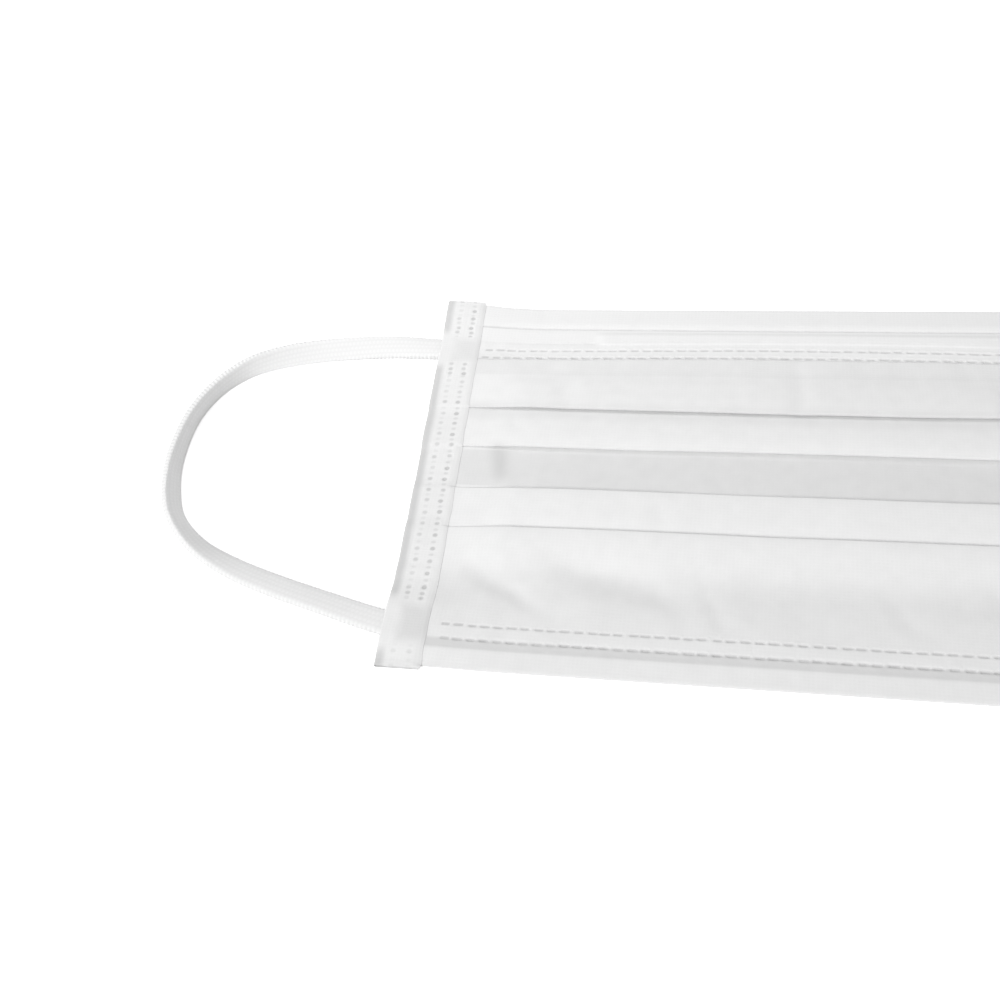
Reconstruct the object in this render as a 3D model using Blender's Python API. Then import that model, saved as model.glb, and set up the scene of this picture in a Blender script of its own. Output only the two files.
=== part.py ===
"""A disposable pleated face mask lying flat, with its two ear loops laid out beside it.

Frame: +X runs along the mask's width and +Y towards the nose edge. +Z points up, out of the
outer face. The origin is under the middle of the body, on the surface that the mask lies on.
"""

import math

import bmesh
import bpy

MM = 0.001

# Body, as it lies folded flat.
BODY_WIDTH = 175.0 * MM
BODY_HEIGHT = 95.0 * MM
PLY = 1.0 * MM
GAP = 0.3 * MM
PLEAT_DEPTH = 10.0 * MM

# Where each pleat's visible fold lies, from the nose edge down to the chin edge.
FOLD_NOSE_OUTER = 16.0 * MM
FOLD_NOSE_INNER = 5.4 * MM
FOLD_CHIN_INNER = -5.0 * MM
FOLD_CHIN_OUTER = -15.8 * MM

# How high the second stack of each pair still is above the surface.
NOSE_STACK_RISE = 1.6 * MM
CHIN_STACK_RISE = 2.1 * MM

# Hems along the nose edge and the chin edge, and the wire inside the nose hem.
NOSE_HEM_START = 31.5 * MM
NOSE_HEM_THIN = 41.0 * MM
CHIN_HEM_START = -37.6 * MM
CHIN_HEM_THIN = -41.6 * MM
HEM_TUCK = 3.0 * MM
WIRE_LENGTH = 100.0 * MM
WIRE_WIDTH = 3.3 * MM
WIRE_THICKNESS = 0.9 * MM
WIRE_CENTRE = 37.6 * MM

# Binding strips round the two ends, and how the folded stack is pressed inside them.
STRIP_WIDTH = 9.5 * MM
STRIP_OVERHANG = 0.5 * MM
PRESSED = 0.45
PRESS_START = 66.0 * MM
PRESS_END = 77.0 * MM

# Ear loops: flat knitted elastic, welded under the strips.
LOOP_WIDTH = 5.5 * MM
LOOP_THICKNESS = 1.8 * MM
LOOP_NOSE_END = 34.0 * MM
LOOP_CHIN_END = -39.6 * MM
LOOP_SAMPLES = 48
LOOP_REST = 0.05 * MM

# The left loop's route: x and y of its middle in millimetres, and its bank in degrees.
# It lies flat where it is welded and stands on its edge round the far bend.
LOOP_ROUTE = (
    (-79.2, 34.1, 0),
    (-88.2, 34.1, 5),
    (-98.8, 34.1, 22),
    (-108.8, 33.1, 38),
    (-118.3, 31.6, 50),
    (-126.9, 29.1, 68),
    (-133.4, 25.6, 86),
    (-138.9, 19.6, 96),
    (-142.4, 11.0, 94),
    (-143.1, 0.0, 84),
    (-141.4, -9.5, 72),
    (-137.9, -17.1, 62),
    (-130.9, -23.8, 42),
    (-121.9, -28.4, 22),
    (-111.8, -31.9, 14),
    (-100.3, -35.2, 12),
    (-88.2, -38.4, 4),
    (-79.2, -39.7, 0),
)

# How far the ends of the body ride up over the loops, and over what distance they come down.
LOOP_CLEARANCE = LOOP_THICKNESS + LOOP_REST + 2 * GAP
CORNER_LIFT = 0.8 * MM
RIDE_START = 54.0 * MM
RIDE_END = 76.0 * MM
RIDE_FLAT = 3.0 * MM
RIDE_FALL_NOSE = 15.0 * MM
RIDE_FALL_CHIN = 12.0 * MM

LAYER = PLY + GAP
FOLD_STEPS = 4
LONGEST_FACE = 4.0 * MM
HALF_WIDTH = BODY_WIDTH / 2
HALF_HEIGHT = BODY_HEIGHT / 2
STACK_TOP = PLY + 2 * LAYER + CHIN_STACK_RISE
STRIP_CAVITY = STACK_TOP * PRESSED + 2 * GAP


def clear_scene():
    for obj in list(bpy.data.objects):
        bpy.data.objects.remove(obj, do_unlink=True)


def make_material(name, colour, roughness, metallic=0.0):
    material = bpy.data.materials.new(name)
    material.use_nodes = True
    shader = material.node_tree.nodes["Principled BSDF"]
    shader.inputs["Base Color"].default_value = (*colour, 1.0)
    shader.inputs["Roughness"].default_value = roughness
    shader.inputs["Metallic"].default_value = metallic
    return material


def ease(value, start, end):
    """Goes smoothly from 0 at start to 1 at end."""
    share = min(max((value - start) / (end - start), 0.0), 1.0)
    return share * share * (3 - 2 * share)


def ride_over(distance, fall):
    """1 above a loop's welded end, falling to 0 at some distance from its middle."""
    return 1 - ease(distance, RIDE_FLAT, RIDE_FLAT + fall)


def lift(x, y):
    """How far the body's ends ride up over the loops at this place."""
    nose = ride_over(LOOP_NOSE_END - y, RIDE_FALL_NOSE)
    chin = ride_over(y - LOOP_CHIN_END, RIDE_FALL_NOSE) * ride_over(LOOP_CHIN_END - y, RIDE_FALL_CHIN)
    corner = CORNER_LIFT * ease(y, LOOP_NOSE_END, HALF_HEIGHT)
    return (LOOP_CLEARANCE * (nose + chin) + corner) * ease(abs(x), RIDE_START, RIDE_END)


def press(x, y, z):
    """The height of a point of the folded stack, pressed together towards the strips."""
    share = ease(abs(x), PRESS_START, PRESS_END)
    squeezed = z * (1 - share * (1 - PRESSED)) + share * (PLY + GAP)
    return squeezed + lift(x, y)


def fold(y, z, step, side):
    """A hairpin between the layer at z and the one a layer higher or lower, bulging to side."""
    radius = LAYER / 2
    middle = z + step * radius
    points = []
    for index in range(FOLD_STEPS + 1):
        angle = math.pi * (index / FOLD_STEPS - 0.5)
        points.append((y + side * radius * math.cos(angle), middle + step * radius * math.sin(angle)))
    return points


def divided(path):
    """The same path with its long stretches near the ear loops cut into shorter ones."""
    points = [path[0]]
    for start, end in zip(path, path[1:]):
        length = math.hypot(end[0] - start[0], end[1] - start[1])
        near_loop = abs(start[0] + end[0]) / 2 > FOLD_NOSE_OUTER
        parts = math.ceil(length / LONGEST_FACE) if near_loop else 1
        for index in range(1, parts + 1):
            share = index / parts
            points.append(tuple(a + (b - a) * share for a, b in zip(start, end)))
    return points


def walled(path, thickness):
    """The closed outline of a sheet of this thickness whose middle follows the path."""
    left = []
    right = []
    for index, (y, z) in enumerate(path):
        before = path[max(index - 1, 0)]
        after = path[min(index + 1, len(path) - 1)]
        run = math.hypot(after[0] - before[0], after[1] - before[1])
        across = ((after[1] - before[1]) / run, -(after[0] - before[0]) / run)
        left.append((y + across[0] * thickness / 2, z + across[1] * thickness / 2))
        right.append((y - across[0] * thickness / 2, z - across[1] * thickness / 2))
    return left + right[::-1]


def add_solid(name, rings, material):
    """Joins rings of points into one closed solid and adds it to the scene."""
    mesh = bpy.data.meshes.new(name)
    builder = bmesh.new()
    loops = [[builder.verts.new(point) for point in ring] for ring in rings]
    for first, second in zip(loops, loops[1:]):
        for index in range(len(first)):
            after = (index + 1) % len(first)
            builder.faces.new((first[index], first[after], second[after], second[index]))
    builder.faces.new(loops[0][::-1])
    builder.faces.new(loops[-1])
    bmesh.ops.recalc_face_normals(builder, faces=builder.faces)
    builder.to_mesh(mesh)
    builder.free()
    mesh.materials.append(material)
    mesh.shade_smooth()
    mesh.set_sharp_from_angle(angle=math.radians(35))
    obj = bpy.data.objects.new(name, mesh)
    bpy.context.scene.collection.objects.link(obj)
    return obj


def width_stations(half_length):
    """Places along X: wide apart over the middle, close where the stack is pressed."""
    close = [54.0, 58.0, 62.0, 65.0, 68.0, 70.0, 72.0, 74.0, 77.0, 81.0]
    inner = [place * MM for place in [0.0, 18.0, 36.0] + close]
    right = [place for place in inner if place < half_length] + [half_length]
    return [-place for place in right[:0:-1]] + right


def across_body(name, path, thickness, half_length, material):
    """A sheet with this section from side to side, pressed at both ends."""
    outline = walled(divided(path), thickness)
    rings = []
    for x in width_stations(half_length):
        rings.append([(x, y, press(x, y, z)) for y, z in outline])
    return add_solid(name, rings, material)


def panel_path():
    """The pleated panel's middle line, from the nose hem to the chin hem.

    The middle panel lies lowest. Above and below it the cloth doubles back twice, so that
    each panel overlaps the next one towards the middle.
    """
    ground = PLY / 2
    second = ground + LAYER
    third = second + LAYER
    reach = LAYER / 2 + PLY / 2
    nose_outer = FOLD_NOSE_OUTER + reach
    nose_inner = FOLD_NOSE_INNER + reach
    nose_outer_hidden = FOLD_NOSE_OUTER + PLEAT_DEPTH - reach
    nose_inner_hidden = FOLD_NOSE_INNER + PLEAT_DEPTH - reach
    chin_inner = FOLD_CHIN_INNER - reach
    chin_outer = FOLD_CHIN_OUTER - reach
    chin_inner_hidden = FOLD_CHIN_INNER - PLEAT_DEPTH + reach
    chin_outer_hidden = FOLD_CHIN_OUTER - PLEAT_DEPTH + reach

    path = [(NOSE_HEM_START + HEM_TUCK, second), (NOSE_HEM_START - 0.5 * MM, second)]
    path += [(nose_outer_hidden + reach + 1.5 * MM, third - 0.2 * MM), (nose_outer_hidden, third)]
    path += fold(nose_outer, third + NOSE_STACK_RISE, -1, -1)
    path += fold(nose_outer_hidden, second, -1, 1)
    path += [(nose_outer, ground + NOSE_STACK_RISE), (nose_inner_hidden + reach, third)]
    path += fold(nose_inner, third, -1, -1)
    path += fold(nose_inner_hidden, second, -1, 1)
    path += fold(chin_inner_hidden, ground, 1, -1)
    path += fold(chin_inner, second, 1, 1)
    path += [(chin_inner_hidden - reach, third), (chin_outer, ground + CHIN_STACK_RISE)]
    path += fold(chin_outer_hidden, ground, 1, -1)
    path += fold(chin_outer, second + CHIN_STACK_RISE, 1, 1)
    path += [(chin_outer_hidden, third), (chin_outer_hidden - reach - 4 * MM, third - 0.5 * MM)]
    path += [(CHIN_HEM_START + 2 * MM, second), (CHIN_HEM_START - HEM_TUCK, second)]
    return path


def hem_path(start, thin, edge):
    """A hem's middle line: under the body, round the edge and back over it."""
    ground = PLY / 2
    second = ground + LAYER
    third = second + LAYER
    side = math.copysign(1.0, edge)
    turn = edge - side * (LAYER / 2 + PLY / 2)
    path = [(start, ground)]
    path += fold(turn, ground, 1, side)
    path += [(thin + side * 1.2 * MM, second + 0.1 * MM), (thin, third), (start, third)]
    return path


def add_body(cloth, wire):
    across_body("pleated_panel", panel_path(), PLY, HALF_WIDTH - PLY - GAP, cloth)
    nose_hem = hem_path(NOSE_HEM_START, NOSE_HEM_THIN, HALF_HEIGHT)
    across_body("nose_hem", nose_hem, PLY, HALF_WIDTH - PLY - GAP, cloth)
    chin_hem = hem_path(CHIN_HEM_START, CHIN_HEM_THIN, -HALF_HEIGHT)
    across_body("chin_hem", chin_hem, PLY, HALF_WIDTH - PLY - GAP, cloth)
    middle = PLY / 2 + LAYER
    wire_path = [(WIRE_CENTRE - WIRE_WIDTH / 2, middle), (WIRE_CENTRE + WIRE_WIDTH / 2, middle)]
    across_body("nose_wire", wire_path, WIRE_THICKNESS, WIRE_LENGTH / 2, wire)


def strip_outline():
    """A strip's section: two legs joined by a rounded fold along the outer edge."""
    inner = HALF_WIDTH - STRIP_WIDTH
    web = HALF_WIDTH - PLY
    top = 2 * PLY + STRIP_CAVITY
    round_edge = 0.7 * MM
    return [
        (inner, 0.0),
        (HALF_WIDTH - round_edge, 0.0),
        (HALF_WIDTH, round_edge),
        (HALF_WIDTH, top - round_edge),
        (HALF_WIDTH - round_edge, top),
        (inner, top),
        (inner, top - PLY),
        (web, top - PLY),
        (web, PLY),
        (inner, PLY),
    ]


def add_strip(name, side, cloth):
    """The binding tape folded round one end of the body."""
    end = HALF_HEIGHT + STRIP_OVERHANG
    count = 34
    rings = []
    for index in range(count + 1):
        y = -end + 2 * end * index / count
        rings.append([(side * x, y, z + lift(x, y)) for x, z in strip_outline()])
    return add_solid(name, rings, cloth)


def smooth_point(before, start, end, after, share):
    """A point between start and end on the smooth curve through all four."""
    values = []
    for p0, p1, p2, p3 in zip(before, start, end, after):
        bend = (2 * p0 - 5 * p1 + 4 * p2 - p3) * share**2
        twist = (3 * p1 - p0 - 3 * p2 + p3) * share**3
        values.append(0.5 * (2 * p1 + (p2 - p0) * share + bend + twist))
    return values


def loop_points():
    """Evenly spread places along the left loop's smooth route: x, y and bank."""
    last = len(LOOP_ROUTE) - 1
    points = []
    for index in range(LOOP_SAMPLES + 1):
        place = last * index / LOOP_SAMPLES
        step = min(int(place), last - 1)
        four = [LOOP_ROUTE[min(max(step + offset, 0), last)] for offset in (-1, 0, 1, 2)]
        points.append(smooth_point(*four, place - step))
    return points


def add_loop(name, side, elastic):
    """A flat elastic loop as a curve, resting on its lower edge all the way."""
    curve = bpy.data.curves.new(name, "CURVE")
    curve.dimensions = "3D"
    curve.twist_mode = "Z_UP"
    curve.bevel_depth = LOOP_THICKNESS / 2
    curve.bevel_resolution = 2
    curve.extrude = (LOOP_WIDTH - LOOP_THICKNESS) / 2
    curve.use_fill_caps = True
    points = loop_points()
    spline = curve.splines.new("POLY")
    spline.points.add(len(points) - 1)
    for target, (x, y, bank) in zip(spline.points, points):
        rise = curve.extrude * math.sin(math.radians(bank))
        z = LOOP_REST + LOOP_THICKNESS / 2 + rise
        target.co = (-side * x * MM, y * MM, z, 1.0)
        target.tilt = -side * math.radians(90 - bank)
    curve.materials.append(elastic)
    obj = bpy.data.objects.new(name, curve)
    bpy.context.scene.collection.objects.link(obj)
    return obj


def main():
    clear_scene()
    cloth = make_material("white_nonwoven", (0.86, 0.86, 0.86), 0.85)
    tape = make_material("white_binding_tape", (0.84, 0.84, 0.84), 0.85)
    elastic = make_material("white_knitted_elastic", (0.85, 0.85, 0.85), 0.9)
    wire = make_material("white_coated_wire", (0.8, 0.8, 0.8), 0.5)
    add_body(cloth, wire)
    for side, name in ((-1, "left"), (1, "right")):
        add_strip(f"side_strip_{name}", side, tape)
        add_loop(f"ear_loop_{name}", side, elastic)


main()
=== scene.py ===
"""A disposable pleated face mask lying flat: folded cloth, welded hems, binding strips, ear loops.

Everything is in metres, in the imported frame: +X along the mask's width, +Y towards the nose
edge, +Z out of its front. The table is the plane z = 0.
"""

import logging
import math
from dataclasses import dataclass
from enum import Enum

import bpy
import numpy as np
from mathutils import Matrix, Vector
from mathutils.bvhtree import BVHTree


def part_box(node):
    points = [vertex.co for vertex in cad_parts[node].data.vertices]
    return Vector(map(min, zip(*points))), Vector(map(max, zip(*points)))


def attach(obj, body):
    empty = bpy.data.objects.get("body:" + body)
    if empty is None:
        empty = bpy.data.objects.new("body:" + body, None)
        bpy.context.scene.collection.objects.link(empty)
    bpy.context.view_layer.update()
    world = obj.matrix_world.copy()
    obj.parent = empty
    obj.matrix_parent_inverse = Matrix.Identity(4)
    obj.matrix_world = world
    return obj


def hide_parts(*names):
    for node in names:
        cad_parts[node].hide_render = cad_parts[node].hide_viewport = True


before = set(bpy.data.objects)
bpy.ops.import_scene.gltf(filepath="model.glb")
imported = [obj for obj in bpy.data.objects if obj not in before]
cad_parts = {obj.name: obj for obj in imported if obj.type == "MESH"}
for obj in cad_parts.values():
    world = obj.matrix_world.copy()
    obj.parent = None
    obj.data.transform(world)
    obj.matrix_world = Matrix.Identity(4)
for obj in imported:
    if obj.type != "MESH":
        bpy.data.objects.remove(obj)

log = logging.getLogger("mask")

MM = 0.001
BODY = "root"
TABLE_CLEARANCE = 0.02 * MM
SEAM_OVERLAP = 0.6 * MM
NOISE_ORIGIN = (31.7, 27.3)


class Side(Enum):
    """The mask's two ends, seen from its front with the nose edge at the top."""

    LEFT = -1
    RIGHT = 1

    @property
    def word(self) -> str:
        """The side's name, as node names have it."""
        return self.name.lower()


# ---------------------------------------------------------------- helpers for curves and meshes


def ease(value: np.ndarray, start: float, end: float) -> np.ndarray:
    """Go smoothly from 0 at start to 1 at end.

    Args:
        value: Where to read the ramp.
        start: Where it leaves 0.
        end: Where it reaches 1; it may lie below start.

    Returns:
        The ramp's value at each place.
    """
    share = np.clip((np.asarray(value, float) - start) / (end - start), 0.0, 1.0)
    return share * share * (3 - 2 * share)


def bump(value: np.ndarray, width: float) -> np.ndarray:
    """A soft hump of height 1 at 0, down to 0.37 at a distance of width."""
    return np.exp(-((np.asarray(value, float) / width) ** 2))


def window(value: np.ndarray, low: float, high: float, soft: float) -> np.ndarray:
    """1 between low and high, falling to 0 over the distance soft outside them."""
    return ease(value, low - soft, low) * (1 - ease(value, high, high + soft))


def scatter(count: int, seed: int) -> np.ndarray:
    """Fixed pseudo-random numbers from -1 to 1."""
    return np.random.default_rng(seed).uniform(-1.0, 1.0, count)


def soft_noise(x: np.ndarray, y: np.ndarray, seed: int, cell: tuple[float, float]) -> np.ndarray:
    """Smooth noise over the plane, from about -1 to 1.

    Args:
        x: Places along the width.
        y: Places along the height.
        seed: Picks one pattern.
        cell: The pattern's grain along x and along y, in metres.

    Returns:
        The noise at each place.
    """
    size = 64
    grid = np.random.default_rng(seed).uniform(-1.0, 1.0, (size, size))
    u = np.asarray(x, float) / cell[0] + NOISE_ORIGIN[0]
    v = np.asarray(y, float) / cell[1] + NOISE_ORIGIN[1]
    iu = np.floor(u).astype(int)
    iv = np.floor(v).astype(int)
    fu = u - iu
    fv = v - iv
    fu = fu * fu * (3 - 2 * fu)
    fv = fv * fv * (3 - 2 * fv)
    a = grid[iu % size, iv % size]
    b = grid[(iu + 1) % size, iv % size]
    c = grid[iu % size, (iv + 1) % size]
    d = grid[(iu + 1) % size, (iv + 1) % size]
    return (a * (1 - fu) + b * fu) * (1 - fv) + (c * (1 - fu) + d * fu) * fv


def grid_faces(rows: int, columns: int, start: int, flip: bool) -> np.ndarray:
    """The quads of a grid of points numbered row by row.

    Args:
        rows: Points down the grid.
        columns: Points across it.
        start: The first point's number.
        flip: Whether to turn the faces over.

    Returns:
        One row of four point numbers for each quad.
    """
    index = np.arange(rows * columns).reshape(rows, columns) + start
    quads = np.stack([index[:-1, :-1], index[:-1, 1:], index[1:, 1:], index[1:, :-1]], axis=-1)
    quads = quads.reshape(-1, 4)
    return quads[:, ::-1] if flip else quads


def rim_faces(rows: int, columns: int, below: int) -> np.ndarray:
    """The quads that join the borders of an upper grid and the same grid below it.

    Args:
        rows: Points down each grid.
        columns: Points across it.
        below: The number of the lower grid's first point.

    Returns:
        One row of four point numbers for each quad.
    """
    index = np.arange(rows * columns).reshape(rows, columns)
    border = [index[0, :][::-1], index[-1, :], index[:, 0], index[:, -1][::-1]]
    quads = [
        np.stack([line[:-1], line[1:], line[1:] + below, line[:-1] + below], axis=-1)
        for line in border
    ]
    return np.concatenate(quads)


def tube_faces(stations: int, ring: int, outward: bool) -> np.ndarray:
    """The quads of a closed tube, whose points are numbered ring by ring, with both its ends.

    Args:
        stations: How many rings the tube has.
        ring: Points round each ring.
        outward: Whether each quad goes round the ring first, and then along the tube.

    Returns:
        One row of four point numbers for each quad.
    """
    index = np.arange(ring * stations).reshape(stations, ring)
    after = np.roll(index, -1, axis=1)
    corners = [index[:-1], after[:-1], after[1:], index[1:]]
    if not outward:
        corners = [corners[0], *corners[:0:-1]]
    caps = []
    for row, flip in ((index[0], outward), (index[-1], not outward)):
        for step in range(ring // 2 - 1):
            quad = [row[step], row[step + 1], row[-step - 2], row[-step - 1]]
            caps.append(quad[::-1] if flip else quad)
    return np.concatenate([np.stack(corners, axis=-1).reshape(-1, 4), np.array(caps)])


def sheet_normals(points: np.ndarray) -> np.ndarray:
    """Unit normals of a grid of points, on the side that faces up where rows run along -Y.

    Args:
        points: Rows of points.

    Returns:
        One normal for each point.
    """
    down = np.gradient(points, axis=0)
    across = np.gradient(points, axis=1)
    normals = np.cross(down, across)
    length = np.linalg.norm(normals, axis=2, keepdims=True)
    return normals / np.maximum(length, 1e-12)


def add_mesh(name: str, points: np.ndarray, quads: np.ndarray) -> bpy.types.Object:
    """Make a smooth-shaded mesh object from points and quads.

    Args:
        name: The object's name.
        points: One row of x, y, z for each point.
        quads: One row of four point numbers for each face.

    Returns:
        The new object, linked to the scene.
    """
    mesh = bpy.data.meshes.new(name)
    mesh.vertices.add(len(points))
    mesh.vertices.foreach_set("co", points.astype(np.float32).ravel())
    mesh.loops.add(quads.size)
    mesh.loops.foreach_set("vertex_index", quads.astype(np.int32).ravel())
    mesh.polygons.add(len(quads))
    mesh.polygons.foreach_set("loop_start", np.arange(0, quads.size, 4, dtype=np.int32))
    mesh.update(calc_edges=True)
    mesh.validate()
    mesh.shade_smooth()
    mesh.set_sharp_from_angle(angle=math.radians(60))
    obj = bpy.data.objects.new(name, mesh)
    bpy.context.scene.collection.objects.link(obj)
    return obj


def add_sheet(name: str, middle: np.ndarray, thickness: np.ndarray | float) -> bpy.types.Object:
    """Make a closed sheet of cloth round a grid of points.

    Args:
        name: The object's name.
        middle: The sheet's middle surface, as rows of points.
        thickness: The cloth's thickness, for the whole grid or for each of its columns.

    Returns:
        The new object. Its first points are the upper face's, in the grid's order.
    """
    rows, columns = middle.shape[:2]
    half = np.broadcast_to(thickness, (rows, columns))[..., None] / 2
    normals = sheet_normals(middle)
    upper = (middle + normals * half).reshape(-1, 3)
    lower = (middle - normals * half).reshape(-1, 3)
    points = np.concatenate([upper, lower])
    points[:, 2] = np.maximum(points[:, 2], TABLE_CLEARANCE)
    count = rows * columns
    quads = np.concatenate(
        [
            grid_faces(rows, columns, 0, True),
            grid_faces(rows, columns, count, False),
            rim_faces(rows, columns, count),
        ]
    )
    return add_mesh(name, points, quads)


def add_mask(obj: bpy.types.Object, name: str, values: np.ndarray) -> None:
    """Store one number for each point of a mesh, for its material to read."""
    layer = obj.data.attributes.new(name, "FLOAT", "POINT")
    layer.data.foreach_set("value", np.asarray(values, np.float32).ravel())


def add_ply_and_shade(sheet: bpy.types.Object, ply_and_shade: np.ndarray) -> None:
    """Store how dense a sheet looks at each place, with the painted shade that goes with it, the
    same on both of its faces.
    """
    add_mask(sheet, "ply_and_shade", np.concatenate([ply_and_shade.ravel(), ply_and_shade.ravel()]))


def smooth(values: np.ndarray, reach: int, **ends: str) -> np.ndarray:
    """Average each value softly with its neighbours.

    Args:
        values: Evenly spaced values.
        reach: How many neighbours on each side count.
        ends: How the line goes on beyond its ends, as np.pad takes it.

    Returns:
        As many values as were given.
    """
    kernel = np.hanning(2 * reach + 1)
    return np.convolve(np.pad(values, reach, **ends), kernel / kernel.sum(), mode="valid")


def dress(piece: bpy.types.Object, finish: bpy.types.Material, node: str) -> None:
    """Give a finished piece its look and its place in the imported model.

    Args:
        piece: The new piece.
        finish: Its material.
        node: The CAD node that it stands for.
    """
    piece.data.materials.append(finish)
    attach(piece, BODY)
    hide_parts(node)
    log.info("%s: %d faces", piece.name, len(piece.data.polygons))


# ---------------------------------------------------------------- materials


def group_socket(
    group: bpy.types.NodeTree, name: str, kind: str, way: str, value: float | None = None
) -> None:
    """Add a named socket to a node group, with its default value if it has one.

    Args:
        group: The node group.
        name: The socket's name.
        kind: The socket's type.
        way: INPUT or OUTPUT.
        value: The default value, or None.
    """
    socket = group.interface.new_socket(name=name, in_out=way, socket_type=kind)
    if value is not None:
        socket.default_value = value


class Nodes:
    """Short ways to add and join nodes in one tree."""

    def __init__(self, tree: bpy.types.NodeTree) -> None:
        """Keep the tree that the nodes go into."""
        self.tree = tree

    def add(self, kind: str, **settings: object) -> bpy.types.Node:
        """Add a node and set its properties.

        Args:
            kind: The node's type.
            settings: Its properties by name.

        Returns:
            The new node.
        """
        node = self.tree.nodes.new(kind)
        for key, value in settings.items():
            setattr(node, key, value)
        return node

    def feed(self, target: bpy.types.NodeSocket, value: object) -> None:
        """Join a socket to a target, or set the target's own value.

        Args:
            target: The socket to feed.
            value: Another node's socket, or a plain value.
        """
        if isinstance(value, bpy.types.NodeSocket):
            self.tree.links.new(value, target)
        else:
            target.default_value = value

    def math(self, operation: str, *values: object) -> bpy.types.NodeSocket:
        """Add a Math node and return its result.

        Args:
            operation: What the node does.
            values: Sockets or numbers, in order.

        Returns:
            The result's socket.
        """
        node = self.add("ShaderNodeMath", operation=operation)
        for socket, value in zip(node.inputs, values):
            self.feed(socket, value)
        return node.outputs[0]

    def scaled(self, vector: object, scale: tuple, turn: float = 0.0) -> bpy.types.NodeSocket:
        """Turn a vector about Z and scale it.

        Args:
            vector: The vector's socket.
            scale: The scale along each axis.
            turn: The turn, in radians.

        Returns:
            The new vector's socket.
        """
        node = self.add("ShaderNodeMapping")
        self.feed(node.inputs["Vector"], vector)
        node.inputs["Rotation"].default_value = (0.0, 0.0, turn)
        node.inputs["Scale"].default_value = scale
        return node.outputs[0]

    def noise(self, vector: object, scale: object, detail: float) -> bpy.types.NodeSocket:
        """Add a Noise texture and return its value, from 0 to 1.

        Args:
            vector: Where to read it.
            scale: How fine it is.
            detail: How many finer octaves it has.

        Returns:
            The value's socket.
        """
        node = self.add("ShaderNodeTexNoise")
        self.feed(node.inputs["Vector"], vector)
        self.feed(node.inputs["Scale"], scale)
        node.inputs["Detail"].default_value = detail
        return node.outputs["Fac"]

    def ramp(self, value: object, low: object, high: object) -> bpy.types.NodeSocket:
        """Go smoothly from 0 at low to 1 at high.

        Args:
            value: Where to read the ramp.
            low: Where it leaves 0.
            high: Where it reaches 1.

        Returns:
            The ramp's socket.
        """
        node = self.add("ShaderNodeMapRange", interpolation_type="SMOOTHSTEP")
        self.feed(node.inputs["Value"], value)
        self.feed(node.inputs["From Min"], low)
        self.feed(node.inputs["From Max"], high)
        return node.outputs["Result"]

    def mix(self, share: object, first: object, second: object) -> bpy.types.NodeSocket:
        """Mix two colours.

        Args:
            share: How much of the second colour there is, from 0 to 1.
            first: The first colour.
            second: The second colour.

        Returns:
            The mixed colour's socket.
        """
        node = self.add("ShaderNodeMix", data_type="RGBA")
        self.feed(node.inputs["Factor"], share)
        self.feed(node.inputs["A"], first)
        self.feed(node.inputs["B"], second)
        return node.outputs["Result"]

    def raise_surface(self, shader: bpy.types.Node, height: bpy.types.NodeSocket) -> None:
        """Let a height in metres tilt a shader's normal.

        Args:
            shader: The Principled shader.
            height: The height at each place.
        """
        surface = self.add("ShaderNodeBump")
        surface.inputs["Distance"].default_value = 1.0
        self.feed(surface.inputs["Height"], height)
        self.feed(shader.inputs["Normal"], surface.outputs["Normal"])


def start_material(name: str) -> tuple[bpy.types.Material, Nodes, bpy.types.Node]:
    """Begin a material on the plain Principled shader.

    Args:
        name: The material's name.

    Returns:
        The material, its nodes' helper and its shader.
    """
    material = bpy.data.materials.new(name)
    material.use_nodes = True
    return material, Nodes(material.node_tree), material.node_tree.nodes["Principled BSDF"]


def make_fibre_group() -> bpy.types.NodeTree:
    """Build the group for laid fibres: crossing streaks, and the cloudy density of the web."""
    group = bpy.data.node_groups.new("laid_fibres", "ShaderNodeTree")
    group_socket(group, "Fibre Spacing", "NodeSocketFloat", "INPUT", 0.25 * MM)
    group_socket(group, "Cloud Size", "NodeSocketFloat", "INPUT", 3.0 * MM)
    group_socket(group, "Streaks", "NodeSocketFloat", "OUTPUT")
    group_socket(group, "Cloud", "NodeSocketFloat", "OUTPUT")
    nodes = Nodes(group)
    given = nodes.add("NodeGroupInput")
    result = nodes.add("NodeGroupOutput")
    place = nodes.add("ShaderNodeTexCoord").outputs["Object"]
    fineness = nodes.math("DIVIDE", 1.0, given.outputs["Fibre Spacing"])
    total = 0.0
    for turn in (20.0, 78.0, 139.0):
        laid = nodes.scaled(place, (0.16, 1.0, 1.0), math.radians(turn))
        total = nodes.math("ADD", total, nodes.noise(laid, fineness, 3.0))
    nodes.feed(result.inputs["Streaks"], nodes.math("DIVIDE", total, 3.0))
    coarseness = nodes.math("DIVIDE", 1.0, given.outputs["Cloud Size"])
    nodes.feed(result.inputs["Cloud"], nodes.noise(place, coarseness, 2.0))
    return group


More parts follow.
